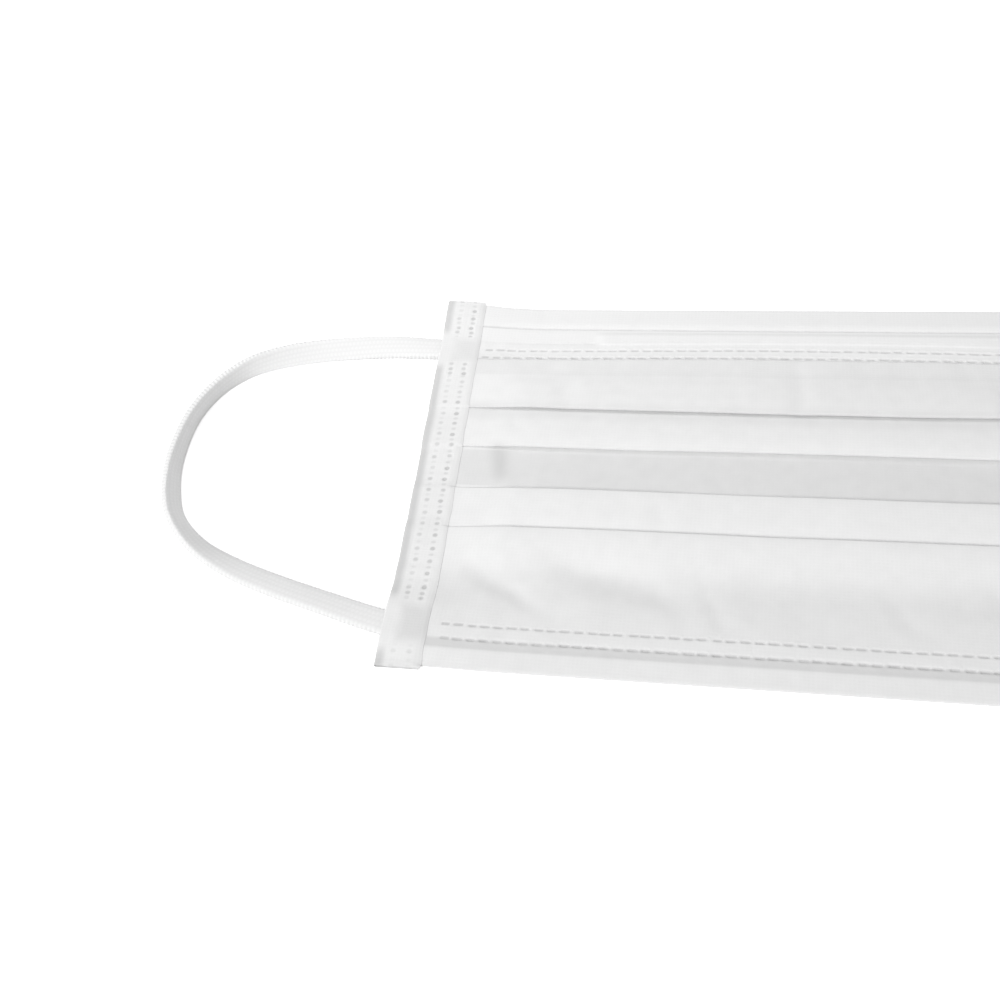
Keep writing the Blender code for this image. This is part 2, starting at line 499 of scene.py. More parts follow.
def make_bond_group() -> bpy.types.NodeTree:
    """Build the group for point bonding: a staggered field of small pressed ovals."""
    group = bpy.data.node_groups.new("point_bonding", "ShaderNodeTree")
    group_socket(group, "Pitch", "NodeSocketFloat", "INPUT", 0.9 * MM)
    group_socket(group, "Point Size", "NodeSocketFloat", "INPUT", 0.3)
    group_socket(group, "Pressed", "NodeSocketFloat", "OUTPUT")
    nodes = Nodes(group)
    given = nodes.add("NodeGroupInput")
    result = nodes.add("NodeGroupOutput")
    place = nodes.add("ShaderNodeTexCoord").outputs["Object"]
    laid = nodes.scaled(place, (1.0, 1.15, 1.0), math.radians(1.5))
    cells = nodes.add("ShaderNodeTexVoronoi", voronoi_dimensions="2D")
    cells.inputs["Randomness"].default_value = 0.18
    nodes.feed(cells.inputs["Vector"], laid)
    nodes.feed(cells.inputs["Scale"], nodes.math("DIVIDE", 1.0, given.outputs["Pitch"]))
    outer = nodes.math("ADD", given.outputs["Point Size"], 0.14)
    pressed = nodes.ramp(cells.outputs["Distance"], outer, given.outputs["Point Size"])
    nodes.feed(result.inputs["Pressed"], pressed)
    return group


@dataclass(frozen=True)
class NonWoven:
    """A matt white non-woven cloth: laid fibres, bonded in points, cloudy in its density, darker
    where one layer lies and where painted shade is laid in.
    """

    name: str
    colour: tuple[float, float, float]
    # The darker colour, for single-layer cloth and for painted shade.
    thin_and_shade_colour: tuple[float, float, float]
    pitch: float
    fibre_depth: float
    bond_depth: float = 0.0045 * MM
    cloudiness: float = 0.25
    bond_shade: float = 0.05
    roughness: float = 0.82

    def make(self, fibres: bpy.types.NodeTree, bonding: bpy.types.NodeTree) -> bpy.types.Material:
        """Build the material.

        Args:
            fibres: The laid fibres' node group.
            bonding: The point bonding's node group.

        Returns:
            The finished material.
        """
        material, nodes, shader = start_material(self.name)
        laid = nodes.add("ShaderNodeGroup", node_tree=fibres)
        bonds = nodes.add("ShaderNodeGroup", node_tree=bonding)
        bonds.inputs["Pitch"].default_value = self.pitch
        # The ply attribute sets the cloth's tone: darker where there is one layer, and darker still
        # where painted shade is laid in, under fold lips, along grooves, round edges and in weld
        # pits.
        ply_and_shade = nodes.add("ShaderNodeAttribute", attribute_name="ply_and_shade").outputs["Fac"]
        cloud = nodes.math("SUBTRACT", laid.outputs["Cloud"], 0.5)
        body = nodes.math("MULTIPLY_ADD", cloud, self.cloudiness, ply_and_shade)
        base = nodes.mix(body, (*self.thin_and_shade_colour, 1.0), (*self.colour, 1.0))
        shaded = nodes.mix(
            nodes.math("MULTIPLY", bonds.outputs["Pressed"], self.bond_shade),
            base,
            (*self.thin_and_shade_colour, 1.0),
        )
        nodes.feed(shader.inputs["Base Color"], shaded)
        streaks = laid.outputs["Streaks"]
        rough = nodes.math("MULTIPLY_ADD", streaks, 0.12, self.roughness - 0.06)
        nodes.feed(shader.inputs["Roughness"], rough)
        relief = nodes.math("MULTIPLY", streaks, self.fibre_depth)
        sunk = nodes.math("MULTIPLY", bonds.outputs["Pressed"], -self.bond_depth)
        nodes.raise_surface(shader, nodes.math("ADD", relief, sunk))
        shader.inputs["Specular IOR Level"].default_value = 0.25
        shader.inputs["Sheen Weight"].default_value = 0.15
        shader.inputs["Sheen Roughness"].default_value = 0.6
        return material


@dataclass(frozen=True)
class KnittedElastic:
    """White knitted elastic: the stitches are in the mesh, the yarn's fuzz is here, and the
    stitches' hollows are painted a darker shade.
    """

    name: str = "white_knitted_elastic"
    colour: tuple[float, float, float] = (0.84, 0.84, 0.84)
    # The colour in the stitches' hollows: painted shade.
    hollow_shade_colour: tuple[float, float, float] = (0.78, 0.78, 0.78)
    yarn_depth: float = 0.02 * MM

    def make(self, fibres: bpy.types.NodeTree) -> bpy.types.Material:
        """Build the material.

        Args:
            fibres: The laid fibres' node group.

        Returns:
            The finished material.
        """
        material, nodes, shader = start_material(self.name)
        laid = nodes.add("ShaderNodeGroup", node_tree=fibres)
        laid.inputs["Fibre Spacing"].default_value = 0.12 * MM
        laid.inputs["Cloud Size"].default_value = 6.0 * MM
        crown = nodes.add("ShaderNodeAttribute", attribute_name="crown").outputs["Fac"]
        # Lighter on the stitches' crowns, darker in their hollows: painted shade in the knit.
        base = nodes.mix(crown, (*self.hollow_shade_colour, 1.0), (*self.colour, 1.0))
        nodes.feed(shader.inputs["Base Color"], base)
        rough = nodes.math("MULTIPLY_ADD", laid.outputs["Streaks"], 0.15, 0.78)
        nodes.feed(shader.inputs["Roughness"], rough)
        fuzz = nodes.math("MULTIPLY", laid.outputs["Streaks"], self.yarn_depth)
        nodes.raise_surface(shader, fuzz)
        shader.inputs["Specular IOR Level"].default_value = 0.25
        shader.inputs["Sheen Weight"].default_value = 0.2
        return material


@dataclass(frozen=True)
class CoatedWire:
    """The nose wire's plastic coat, with a faint drawn grain."""

    name: str = "white_coated_wire"
    colour: tuple[float, float, float] = (0.82, 0.82, 0.82)

    def make(self, fibres: bpy.types.NodeTree) -> bpy.types.Material:
        """Build the material.

        Args:
            fibres: The laid fibres' node group.

        Returns:
            The finished material.
        """
        material, nodes, shader = start_material(self.name)
        laid = nodes.add("ShaderNodeGroup", node_tree=fibres)
        laid.inputs["Fibre Spacing"].default_value = 0.6 * MM
        darker = tuple(0.93 * part for part in self.colour)
        base = nodes.mix(laid.outputs["Cloud"], (*self.colour, 1.0), (*darker, 1.0))
        nodes.feed(shader.inputs["Base Color"], base)
        rough = nodes.math("MULTIPLY_ADD", laid.outputs["Streaks"], 0.2, 0.35)
        nodes.feed(shader.inputs["Roughness"], rough)
        return material


class Finishes:
    """Every finish of the mask, made once."""

    def __init__(self) -> None:
        """Make the shared node groups and the materials that use them."""
        fibres = make_fibre_group()
        bonding = make_bond_group()
        self.cloth = NonWoven(
            "white_nonwoven",
            colour=(0.83, 0.83, 0.83),
            thin_and_shade_colour=(0.58, 0.58, 0.58),
            pitch=0.8 * MM,
            fibre_depth=0.02 * MM,
        ).make(fibres, bonding)
        self.tape = NonWoven(
            "white_binding_tape",
            colour=(0.80, 0.80, 0.80),
            thin_and_shade_colour=(0.56, 0.56, 0.56),
            pitch=0.7 * MM,
            fibre_depth=0.025 * MM,
            cloudiness=0.15,
        ).make(fibres, bonding)
        self.elastic = KnittedElastic().make(fibres)
        self.wire = CoatedWire().make(fibres)


# ---------------------------------------------------------------- the shape that all cloth shares


@dataclass(frozen=True)
class BodySize:
    """Where the body's pieces begin and end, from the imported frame."""

    half_width: float
    half_height: float
    strip_inner: float
    strip_half_length: float
    nose_seam: float
    chin_seam: float
    wire_half_length: float
    wire_middle: float

    @classmethod
    def from_frame(cls) -> "BodySize":
        """Read the sizes from the frame's nodes."""
        strip_low, strip_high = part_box("side_strip_right")
        nose_low, nose_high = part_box("nose_hem")
        wire_low, wire_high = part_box("nose_wire")
        return cls(
            half_width=strip_high[0],
            half_height=nose_high[1],
            strip_inner=strip_low[0],
            strip_half_length=strip_high[1],
            nose_seam=nose_low[1] - SEAM_OVERLAP,
            chin_seam=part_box("chin_hem")[1][1],
            wire_half_length=wire_high[0],
            wire_middle=(wire_low[1] + wire_high[1]) / 2,
        )


@dataclass(frozen=True)
class Crease:
    """A soft valley in the cloth along a short line; a negative depth makes a ridge."""

    start: tuple[float, float]
    end: tuple[float, float]
    depth: float
    width: float

    def height(self, x: np.ndarray, y: np.ndarray) -> np.ndarray:
        """How much the crease adds to the cloth's height at each place.

        Args:
            x: Places along the width.
            y: Places along the height.

        Returns:
            Heights, below 0 in a valley.
        """
        start = np.array(self.start) * MM
        along = np.array(self.end) * MM - start
        length = math.hypot(*along)
        share = ((x - start[0]) * along[0] + (y - start[1]) * along[1]) / length**2
        near = np.clip(share, 0.0, 1.0)
        away = np.hypot(x - start[0] - near * along[0], y - start[1] - near * along[1])
        swell = 0.35 + 0.65 * np.sin(np.pi * np.clip(near, 0.0, 1.0)) ** 0.7
        return -self.depth * MM * swell * bump(away, self.width * MM)


@dataclass(frozen=True)
class Drape:
    """How the flat mask really lies: its ends ride over the ear loops, and its cloth is creased."""

    size: BodySize
    pressed: float = 0.34
    press_start: float = 64.0 * MM
    press_end: float = 78.0 * MM
    tape_bed: float = 0.3 * MM
    loop_nose: float = 34.0 * MM
    loop_chin: float = -38.6 * MM
    loop_lift: float = 1.1 * MM
    corner_lift: float = 0.75 * MM
    creases: tuple[Crease, ...] = (
        Crease((-72.5, -24.0), (-65.0, -29.5), 0.5, 2.2),
        Crease((-66.5, -26.5), (-56.5, -34.0), 0.66, 2.1),
        Crease((-54.5, -24.0), (-39.0, -26.5), 0.55, 3.0),
        Crease((-42.0, -25.5), (-27.0, -31.0), 0.66, 3.4),
        Crease((-25.0, -26.0), (-21.0, -36.0), 0.3, 1.6),
        Crease((-62.0, -21.0), (-44.0, -34.0), -0.25, 3.5),
        Crease((-68.6, 4.0), (-68.4, -3.5), 0.28, 1.5),
        Crease((-66.0, 5.0), (-66.0, -4.5), -0.16, 1.6),
        Crease((-56.5, 26.0), (-56.0, 17.0), 0.3, 2.2),
        Crease((-5.5, 29.0), (-4.6, 17.0), 0.35, 2.2),
        Crease((-67.0, 15.0), (-66.0, 10.0), 0.22, 1.6),
        Crease((-34.5, -7.0), (-33.2, -13.0), 0.2, 1.6),
        Crease((-69.0, -8.0), (-71.0, -15.0), 0.2, 2.0),
        Crease((28.0, -24.0), (44.0, -33.0), 0.5, 4.2),
        Crease((52.0, -30.0), (66.0, -24.0), 0.45, 3.0),
        Crease((10.0, -28.0), (16.0, -36.0), 0.3, 2.2),
        Crease((36.0, 27.0), (38.0, 17.0), 0.3, 2.4),
        Crease((62.0, 25.0), (60.0, 17.0), 0.25, 2.2),
        Crease((22.0, 4.0), (24.0, -4.0), 0.2, 1.8),
        Crease((64.0, 3.5), (66.0, -4.0), 0.25, 1.6),
    )

    def squeeze(self, x: np.ndarray) -> np.ndarray:
        """0 over the middle of the mask, 1 where the strips press the folded stack."""
        return ease(np.abs(x), self.press_start, self.press_end)

    def thinning(self, x: np.ndarray) -> np.ndarray:
        """The share of its thickness that the cloth keeps, least under the strips."""
        return 1 - 0.6 * self.squeeze(x)

    def lift(self, x: np.ndarray, y: np.ndarray) -> np.ndarray:
        """How far the ends ride up over the welded ends of the ear loops.

        Args:
            x: Places along the width.
            y: Places along the height.

        Returns:
            Heights, 0 over the middle of the mask.
        """
        nose = ease(y, self.loop_nose - 17 * MM, self.loop_nose - 3 * MM)
        chin = window(y, self.loop_chin - 2.5 * MM, self.loop_chin + 2.5 * MM, 8.0 * MM)
        chin_floor = 0.25 * ease(-y, -self.loop_chin, self.size.half_height)
        corner = self.corner_lift * ease(y, self.loop_nose, self.size.half_height)
        reach = ease(np.abs(x), 62.0 * MM, 84.0 * MM)
        curl = self.corner_lift * ease(np.abs(x), 70 * MM, self.size.half_width)
        curl = curl * ease(y, self.loop_nose + 4 * MM, self.size.half_height)
        chin_part = np.maximum(chin, chin_floor)
        return (self.loop_lift * (nose + chin_part) + corner) * reach + 0.6 * curl

    def waves(self, x: np.ndarray, y: np.ndarray) -> np.ndarray:
        """The cloth's loose unevenness: broad swells, and puckers beside the welds.

        Args:
            x: Places along the width.
            y: Places along the height.

        Returns:
            Heights, above and below 0.
        """
        broad = 0.14 * MM * soft_noise(x, y, 11, (27 * MM, 17 * MM))
        middling = 0.05 * MM * soft_noise(x, y, 12, (9 * MM, 6.5 * MM))
        fine = 0.012 * MM * soft_noise(x, y, 13, (3.2 * MM, 2.6 * MM))
        nose = bump(y - self.size.nose_seam + 3.5 * MM, 4.5 * MM)
        chin = bump(y - self.size.chin_seam - 3.5 * MM, 5.0 * MM)
        puckers = soft_noise(x, y, 14, (3.6 * MM, 12 * MM)) * (nose + chin) * 0.12 * MM
        return broad + middling + fine + puckers

    def crease_height(self, x: np.ndarray, y: np.ndarray) -> np.ndarray:
        """All the creases together."""
        return sum(crease.height(x, y) for crease in self.creases)

    def settle(self, x: np.ndarray, y: np.ndarray, z: np.ndarray) -> np.ndarray:
        """Lay flat, even cloth down as it really lies.

        Args:
            x: Places along the width.
            y: Places along the height.
            z: Heights of the evenly folded stack above the table.

        Returns:
            The places' final positions, with x, y and z in the last axis.
        """
        x, y, z = np.broadcast_arrays(x, y, z)
        share = self.squeeze(x)
        free = 1 - ease(np.abs(x), 70 * MM, 79 * MM)
        loose = ease(z, 0.25 * MM, 1.0 * MM)
        height = z * (1 - share * (1 - self.pressed)) + share * self.tape_bed
        inside = window(y, self.size.chin_seam, self.size.nose_seam, 3 * MM)
        height = height + self.waves(x, y) * (0.2 + 0.8 * inside) * (0.15 + 0.85 * free) * loose
        height = height + self.crease_height(x, y) * free * loose
        middle = np.cos(np.clip(x / self.size.half_width, -1, 1) * np.pi / 2) ** 2
        droop = -0.9 * MM * middle * window(y, 13 * MM, 18 * MM, 8 * MM)
        droop = droop + 1.15 * MM * middle * window(y, 30.5 * MM, 35.5 * MM, 5.5 * MM)
        droop = droop + 0.12 * MM * soft_noise(x, y, 21, (14 * MM, 8 * MM)) * free * inside
        narrow = 0.6 * MM * bump(y + 21 * MM, 21 * MM) * ease(np.abs(x), 60 * MM, 84 * MM)
        final_x = x - np.sign(x) * narrow
        return np.stack([final_x, y + droop, height + self.lift(x, y)], axis=-1)


def spread(start: float, end: float, spacing: float) -> np.ndarray:
    """Evenly spread places from start to end, about spacing apart."""
    count = max(2, round(abs(end - start) / spacing) + 1)
    return np.linspace(start, end, count)


# ---------------------------------------------------------------- pieces


@dataclass
class PleatedPanel:
    """The three-ply body: one sheet, doubled back twice above and twice below the middle."""

    drape: Drape
    fold_nose_outer: float = 16.9 * MM
    fold_nose_inner: float = 6.0 * MM
    fold_chin_inner: float = -4.9 * MM
    fold_chin_outer: float = -15.2 * MM
    depth: float = 9.6 * MM
    cloth: float = 0.34 * MM
    layer: float = 0.5 * MM
    ground: float = 0.32 * MM
    over_fold: float = 1.08 * MM
    seam_height: float = 0.95 * MM
    end_inset: float = 1.9 * MM
    # Where the painted shade of a shallow dimple lies, in the middle panel near the left end.
    dimple_shade_place: float = -68.6 * MM
    column_spacing: float = 1.0 * MM
    flat_size: tuple[float, float] = (175.0 * MM, 175.0 * MM)

    def hairpin(self, y: float, z: float, step: int, side: int) -> np.ndarray:
        """The turn from the layer at z to the one a layer above or below it.

        Args:
            y: Where the turn's middle lies.
            z: The height of the layer that the turn leaves.
            step: 1 to turn upwards, -1 to turn down.
            side: 1 for a turn that bulges towards the nose edge, -1 towards the chin.

        Returns:
            Rows of y and z, in order.
        """
        radius = self.layer / 2
        angle = np.linspace(-np.pi / 2, np.pi / 2, 9)
        across = y + side * radius * 1.15 * np.cos(angle)
        return np.stack([across, z + step * radius * (1 + np.sin(angle))], axis=1)

    def run(self, nodes: list[tuple[float, float]], spacing: float) -> np.ndarray:
        """A soft line through a few nodes, without its ends.

        Args:
            nodes: Places as y and z.
            spacing: How far apart the line's points are.

        Returns:
            Rows of y and z, in order.
        """
        y = spread(nodes[0][0], nodes[-1][0], 0.25 * MM)
        order = sorted(nodes)
        z = np.interp(y, [node[0] for node in order], [node[1] for node in order])
        soft = smooth(z, 6, mode="reflect", reflect_type="odd")
        place = spread(nodes[0][0], nodes[-1][0], spacing)[1:-1]
        if nodes[0][0] > nodes[-1][0]:
            return np.stack([place, np.interp(-place, -y, soft)], axis=1)
        return np.stack([place, np.interp(place, y, soft)], axis=1)

    def path(self) -> np.ndarray:
        """The sheet's middle line from the nose hem to the chin hem, as rows of y and z."""
        size = self.drape.size
        pin = self.layer / 2 * 1.15 + self.cloth / 2
        low = self.ground
        step = self.layer
        outer_n = self.fold_nose_outer + pin
        inner_n = self.fold_nose_inner + pin
        hidden_outer_n = self.fold_nose_outer + self.depth - pin
        hidden_inner_n = self.fold_nose_inner + self.depth - pin
        inner_c = self.fold_chin_inner - pin
        outer_c = self.fold_chin_outer - pin
        hidden_inner_c = self.fold_chin_inner - self.depth + pin
        hidden_outer_c = self.fold_chin_outer - self.depth + pin
        top_n = low + 2 * step + 0.16 * MM
        over = self.over_fold
        # Layers that show have closer points than hidden ones. The small offsets in the lists
        # below crown each fold's lip and let the cloth sink where nothing holds it up.
        seen = 0.6 * MM
        unseen = 2.2 * MM
        pieces = [
            [(size.nose_seam, self.seam_height)],
            self.run(
                [
                    (size.nose_seam, self.seam_height),
                    (hidden_outer_n + 1.0 * MM, 1.0 * MM),
                    (hidden_outer_n - 2.0 * MM, over + 2 * step - 0.45 * MM),
                    (outer_n + 2.2 * MM, over + 2 * step + 0.16 * MM),
                    (outer_n + 0.9 * MM, over + 2 * step + 0.1 * MM),
                    (outer_n, over + 2 * step),
                ],
                seen,
            ),
            self.hairpin(outer_n, over + 2 * step, -1, -1),
            self.run(
                [
                    (outer_n, over + step),
                    (hidden_outer_n - 5 * MM, low + step + 0.3 * MM),
                    (hidden_outer_n, low + step),
                ],
                unseen,
            ),
            self.hairpin(hidden_outer_n, low + step, -1, 1),
            self.run(
                [
                    (hidden_outer_n, low),
                    (outer_n + 5 * MM, low + 0.1 * MM),
                    (outer_n, over - 0.16 * MM),
                    (outer_n - 2.0 * MM, top_n - 0.26 * MM),
                    (inner_n + 4.5 * MM, top_n + 0.14 * MM),
                    (inner_n + 2.2 * MM, top_n + 0.2 * MM),
                    (inner_n + 0.9 * MM, top_n + 0.12 * MM),
                    (inner_n, top_n),
                ],
                seen,
            ),
            self.hairpin(inner_n, top_n, -1, -1),
            self.run([(inner_n, top_n - step), (hidden_inner_n, low + step)], unseen),
            self.hairpin(hidden_inner_n, low + step, -1, 1),
            self.run([(hidden_inner_n, low), (hidden_inner_c, low)], seen),
            self.hairpin(hidden_inner_c, low, 1, -1),
            self.run([(hidden_inner_c, low + step), (inner_c, low + step)], unseen),
            self.hairpin(inner_c, low + step, 1, 1),
            self.run(
                [
                    (inner_c, low + 2 * step),
                    (inner_c - 0.9 * MM, low + 2 * step + 0.12 * MM),
                    (inner_c - 3.5 * MM, low + 2 * step + 0.2 * MM),
                    (outer_c + 3.5 * MM, low + 2 * step + 0.12 * MM),
                    (outer_c, over),
                    (outer_c - 5 * MM, low + 0.1 * MM),
                    (hidden_outer_c, low),
                ],
                seen,
            ),
            self.hairpin(hidden_outer_c, low, 1, -1),
            self.run(
                [
                    (hidden_outer_c, low + step),
                    (outer_c - 5 * MM, low + step + 0.3 * MM),
                    (outer_c, over + step),
                ],
                unseen,
            ),
            self.hairpin(outer_c, over + step, 1, 1),
            self.run(
                [
                    (outer_c, over + 2 * step),
                    (outer_c - 0.9 * MM, over + 2 * step + 0.1 * MM),
                    (outer_c - 3.0 * MM, over + 2 * step + 0.05 * MM),
                    (hidden_outer_c - 1.0 * MM, low + 2 * step + 0.1 * MM),
                    (hidden_outer_c - 4.5 * MM, 1.0 * MM),
                    (size.chin_seam, self.seam_height),
                ],
                seen,
            ),
            [(size.chin_seam, self.seam_height)],
        ]
        return np.concatenate([np.asarray(piece, float).reshape(-1, 2) for piece in pieces])

    def ply_and_shade_share(self, y: np.ndarray) -> np.ndarray:
        """How dense the cloth looks where one layer or three lie on each other, with painted shade.

        Args:
            y: Places along the height.

        Returns:
            Nearly 1 where there are three layers, and less where there is one or a fold's shadow,
            with painted shade under the fold lips, on the sunken middle panel, on the creased lower
            panel and along a line over a hidden fold's edge.
        """
        nose_outer = self.fold_nose_outer
        chin_inner = self.fold_chin_inner
        nose = window(y, self.fold_nose_inner - 0.4 * MM, nose_outer + self.depth, 0.8 * MM)
        outer = self.fold_chin_outer - self.depth
        chin = ease(y, outer - 3.5 * MM, outer + 2.5 * MM)
        chin = chin * (1 - ease(y, chin_inner + 0.4 * MM, chin_inner + 0.9 * MM))
        thick = np.clip(nose + chin, 0.0, 1.0)
        upper = (y > nose_outer).astype(float)
        lower = (y < self.fold_chin_outer).astype(float)
        # Single-layer cloth is darker; the middle panel, lowest between the fold lips, is darker
        # still with painted shade.
        single_ply_and_shade = 0.48 + 0.27 * upper + 0.28 * lower
        # Painted shade of the creases in the lower panel: a soft darker band.
        single_ply_and_shade = single_ply_and_shade - 0.12 * bump(y - outer + 3.2 * MM, 5 * MM)
        # Painted shadow under the first fold's lip, painted shade lines along both upper fold lips,
        # and a painted shade line over the hidden upper fold's edge.
        shade = 0.25 * window(y, nose_outer - 1.4 * MM, nose_outer + 0.2 * MM, 3.2 * MM)
        for fold in (nose_outer, self.fold_nose_inner):
            shade = shade + 0.17 * bump(y - fold + 0.1 * MM, 0.5 * MM)
        shade = shade + 0.12 * bump(y - nose_outer - self.depth - 0.2 * MM, 0.35 * MM)
        return 0.94 * thick + (1 - thick) * single_ply_and_shade - shade

    def stack_top(self, y: np.ndarray) -> np.ndarray:
        """The height of the folded stack's upper side at each y, before it is pressed.

        Args:
            y: Places along the height.

        Returns:
            Heights above the table.
        """
        path = self.path()
        cells = np.round((path[:, 0] + 60 * MM) / (0.4 * MM)).astype(int)
        tops = np.zeros(400)
        np.maximum.at(tops, cells, path[:, 1] + self.cloth / 2)
        filled = np.flatnonzero(tops)
        places = filled * 0.4 * MM - 60 * MM
        return np.interp(y, places, tops[filled])

    def build(self, finish: bpy.types.Material) -> bpy.types.Object:
        """Make the panel's mesh and dress it.

        Args:
            finish: The cloth's material.

        Returns:
            The panel.
        """
        path = self.path()
        reach = self.drape.size.half_width - self.end_inset
        x = spread(-reach, reach, self.column_spacing)[None, :]
        middle = self.drape.settle(x, path[:, :1], path[:, 1:])
        panel = add_sheet("pleated_body", middle, self.cloth * self.drape.thinning(x))
        ply_and_shade = np.broadcast_to(self.ply_and_shade_share(path[:, :1]), middle.shape[:2])
        ply_and_shade = ply_and_shade + np.maximum(0.6 - ply_and_shade, 0) * ease(np.abs(x), 52 * MM, 74 * MM)
        # Painted shade of a shallow dimple in the middle panel, near the left end.
        dimple_shade = bump(x - self.dimple_shade_place + 0.15 * path[:, :1], 1.9 * MM)
        ply_and_shade = ply_and_shade - 0.45 * dimple_shade * window(path[:, :1], 0.0 * MM, 4.6 * MM, 4.0 * MM)
        add_ply_and_shade(panel, ply_and_shade)
        dress(panel, finish, "pleated_panel")
        return panel


@dataclass(frozen=True)
class WeldRow:
    """A row of short dashes pressed by a toothed weld wheel."""

    y: float
    start: float
    depth: float
    seed: int
    pitch: float = 2.62 * MM
    length: float = 1.8 * MM
    width: float = 0.5 * MM
    # How much darker the fused dashes are: glassy cloth, with painted shade in the pits.
    darkening: float = 0.8

    def press(
        self, x: np.ndarray, y: np.ndarray, half_width: float
    ) -> tuple[np.ndarray, np.ndarray]:
        """How much the row adds to the cloth's height, and where it fuses the fibres.

        Args:
            x: Places along the width.
            y: Places along the height.
            half_width: How far the row reaches to each side.

        Returns:
            Heights, below 0 in the dashes and above 0 on their rims, and 1 where cloth is fused,
            which the hems paint darker, partly as painted shade in the pits.
        """
        number = np.floor((x - self.start) / self.pitch + 0.5).astype(int)
        jitter = scatter(400, self.seed)
        pick = np.mod(number + 200, 400)
        middle = self.start + (number + 0.07 * jitter[pick]) * self.pitch
        length = self.length * (1 + 0.12 * jitter[(pick * 7 + 3) % 400])
        depth = self.depth * (1 + 0.3 * jitter[(pick * 5 + 11) % 400])
        straight = np.maximum(np.abs(x - middle) - (length - self.width) / 2, 0.0)
        wander = 0.06 * MM * jitter[(pick * 3 + 7) % 400]
        away = np.hypot(straight, y - self.y - wander)
        fused = 1 - ease(away, self.width * 0.4, self.width * 0.85)
        rim = bump(away - self.width * 1.2, 0.28 * MM)
        channel = bump(y - self.y, 0.9 * MM)
        on = 1 - ease(np.abs(x), half_width, half_width + 0.4 * MM)
        height = on * (-depth * fused + 0.22 * self.depth * rim - 0.25 * self.depth * channel)
        return height, on * fused


@dataclass
class Hem:
    """A folded edge: a band that starts at the seam, rounds the edge and goes back underneath."""

    drape: Drape
    name: str
    node: str
    seam: float
    edge: float
    surface: tuple[tuple[float, float], ...]
    welds: tuple[WeldRow, ...]
    weld_reach: float
    # Density along y, with painted shade laid in along grooves, steps and rounded edges.
    plies_and_shade: tuple[tuple[float, float], ...]
    fine_lines: tuple[float, ...]
    cloth: float = 0.34 * MM
    column_spacing: float = 0.34 * MM
    back_spacing: float = 1.8 * MM
    end_inset: float = 1.1 * MM
    turn_inset: float = 0.32 * MM
    wire_half_length: float = 0.0
    wire_middle: float = 0.0
    wire_rise: float = 0.0

    def rows(self) -> np.ndarray:
        """Places along y on the upper side: close together at each weld row."""
        places = list(spread(self.seam, self.edge, 0.5 * MM))
        for weld in self.welds:
            places += list(weld.y + np.linspace(-0.75, 0.75, 11) * MM)
        for line in self.fine_lines:
            places += list(line + np.linspace(-0.6, 0.6, 9) * MM)
        ordered = np.unique(np.round(np.array(places) / (0.02 * MM))) * 0.02 * MM
        low, high = sorted((self.seam, self.edge))
        inside = ordered[(ordered >= low) & (ordered <= high)]
        kept = [inside[0]]
        for place in inside[1:]:
            if place - kept[-1] > 0.1 * MM:
                kept.append(place)
        run = np.array(kept)
        return run if self.seam < self.edge else run[::-1]

    def upper(self, x: np.ndarray, y: np.ndarray) -> np.ndarray:
        """The height of the upper side's middle surface, evenly laid.

        Args:
            x: Places along the width.
            y: Places along the height.

        Returns:
            Heights above the table.
        """
        order = sorted(self.surface)
        base = np.interp(y, [node[0] * MM for node in order], [node[1] * MM for node in order])
        if self.wire_rise:
            middle, end = self.wire_middle, self.wire_half_length
            across = window(y, middle - 1.35 * MM, middle + 1.35 * MM, 0.9 * MM)
            along = 1 - ease(np.abs(x), end - 1.5 * MM, end + 1.5 * MM)
            base = base + self.wire_rise * across * along
        for weld in self.welds:
            base = base + weld.press(x, y, self.weld_reach)[0]
        return base

    def density(self, x: np.ndarray, y: np.ndarray) -> np.ndarray:
        """How dense the cloth looks, with painted shade: by its layers, with painted shade listed
        among them, and glassy and darker where a weld has fused it, partly painted shade in the
        pressed dashes.

        Args:
            x: Places along the width.
            y: Places along the height.

        Returns:
            The density at each place.
        """
        order = sorted(self.plies_and_shade)
        ply_and_shade = np.interp(y, [node[0] * MM for node in order], [node[1] for node in order])
        for weld in self.welds:
            # The weld dashes are darker: fused cloth, with painted shade in the pressed pits.
            ply_and_shade = ply_and_shade - weld.darkening * weld.press(x, y, self.weld_reach)[1]
        return ply_and_shade

    def build(self, finish: bpy.types.Material) -> bpy.types.Object:
        """Make the hem's mesh and dress it.

        Args:
            finish: The cloth's material.

        Returns:
            The hem.
        """
        side = math.copysign(1.0, self.edge)
        reach = self.drape.size.half_width - self.end_inset
        x = spread(-reach, reach, self.column_spacing)[None, :]
        y = self.rows()[:, None]
        turn = self.edge - side * self.turn_inset
        flat = y[side * (turn - y[:, 0]) > 0.25 * MM]
        top = self.upper(x, flat)
        last = top[-1:, :]
        bottom = self.cloth / 2 + 0.04 * MM
        radius = (last - bottom) / 2
        angle = np.linspace(np.pi / 2, -np.pi / 2, 8)[:, None]
        round_y = turn + side * radius * 0.9 * np.cos(angle)
        round_z = bottom + radius * (1 + np.sin(angle))
        back = spread(turn, self.seam, self.back_spacing)[1:, None]
        all_y = np.concatenate([flat + 0 * x, round_y, back + 0 * x])
        all_z = np.concatenate([top, round_z, np.full((len(back), x.shape[1]), bottom)])
        middle = self.drape.settle(x + 0 * all_y, all_y, all_z)
        if side > 0:
            middle = middle[:, ::-1]
        thickness = self.cloth * self.drape.thinning(x)
        hem = add_sheet(self.name, middle, thickness[:, ::-1] if side > 0 else thickness)
        ply_and_shade = self.density(x + 0 * all_y, all_y)
        if side > 0:
            ply_and_shade = ply_and_shade[:, ::-1]
        add_ply_and_shade(hem, ply_and_shade)
        dress(hem, finish, self.node)
        return hem


